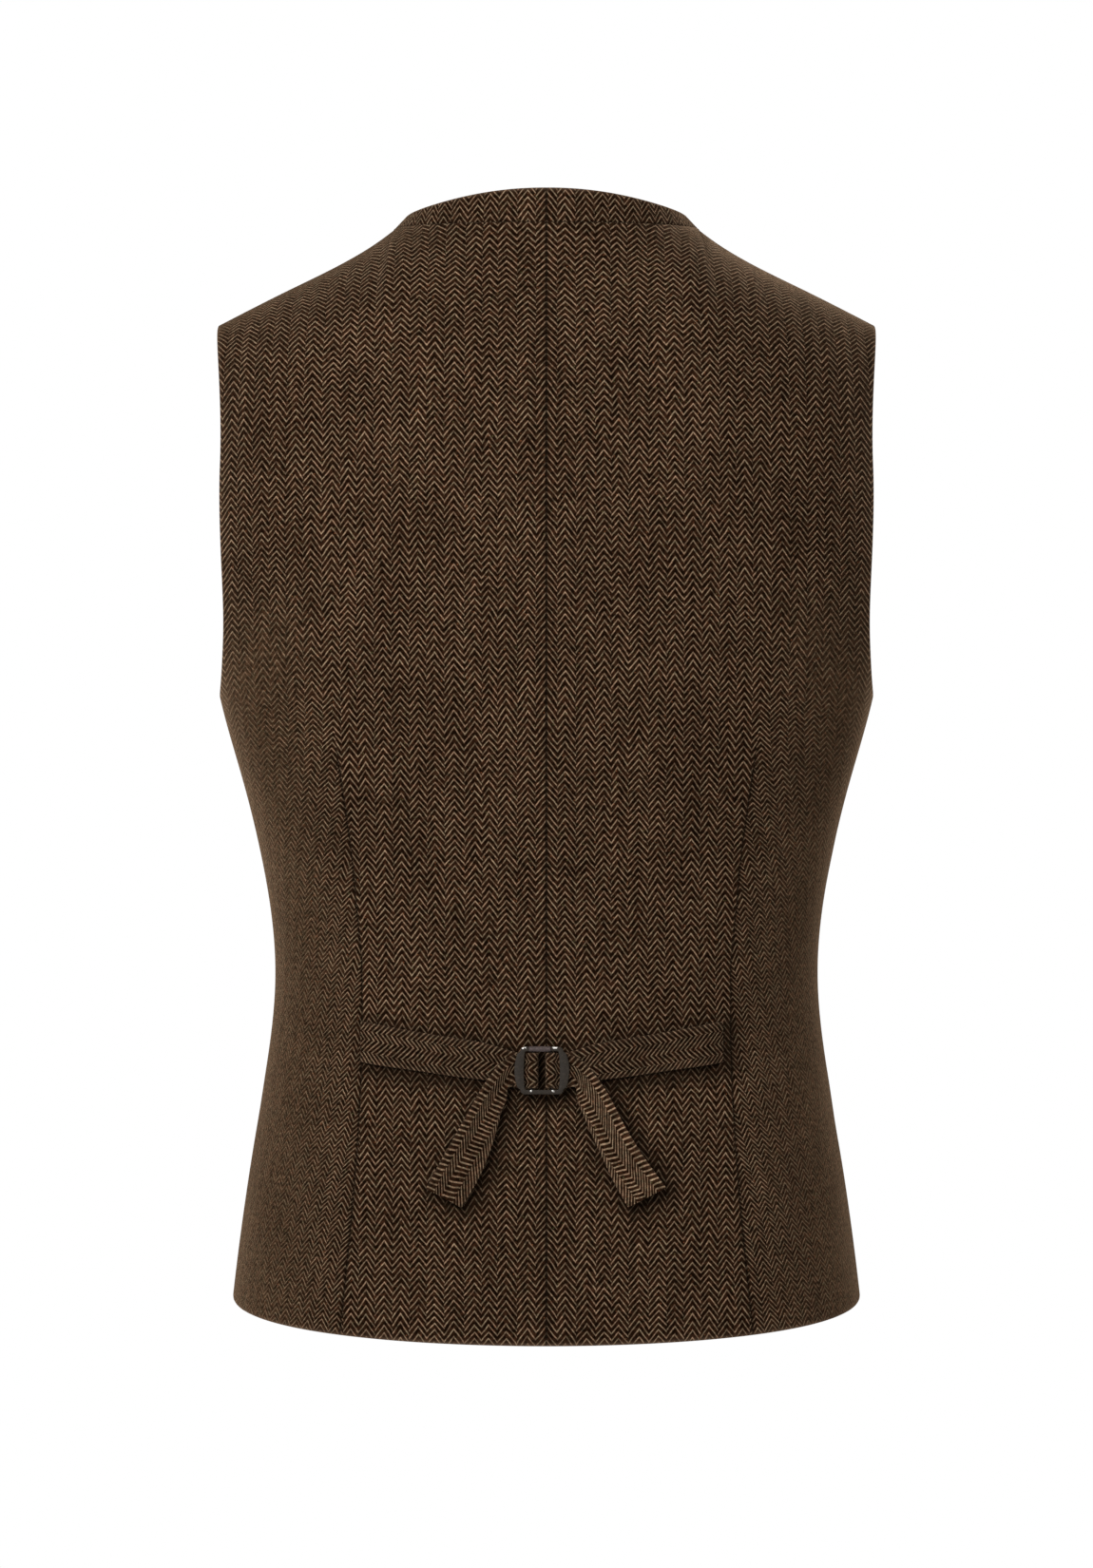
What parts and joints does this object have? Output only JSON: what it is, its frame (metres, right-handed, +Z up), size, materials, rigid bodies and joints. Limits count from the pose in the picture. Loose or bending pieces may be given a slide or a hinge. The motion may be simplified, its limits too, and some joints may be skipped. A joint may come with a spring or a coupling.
{
  "type": "suit waistcoat",
  "caption": "Sleeveless V-neck suit waistcoat in brown herringbone tweed, with shaped panels, a buttoned front and a buckled cinch strap across the back waist.",
  "frame": {"origin": "middle of the neck opening, level with the top of the shoulders, where the wearer's shoulders carry the garment", "axes": "+Z up, +Y out of the back, +X to the wearer's left; the front faces -Y"},
  "size_m": [0.3854, 0.2447, 0.6785],
  "materials": {
    "tweed": "dark brown wool herringbone tweed, soft nap, matt",
    "strap_tweed": "the same tweed, folded and pressed, herringbone along the strap",
    "gunmetal": "dark gunmetal plate, satin, worn bright at the corners",
    "button": "dark brown horn-effect resin, satin"
  },
  "bodies": {
    "root": {"back_left": "tweed", "back_right": "tweed", "front_left": "tweed", "front_right": "tweed", "neck_band_left": "tweed", "neck_band_right": "tweed", "strap_left": "strap_tweed", "strap_right": "strap_tweed", "buckle_frame": "gunmetal", "button_1": "button", "button_2": "button", "button_3": "button", "button_4": "button", "button_5": "button"}
  },
  "joints": []
}
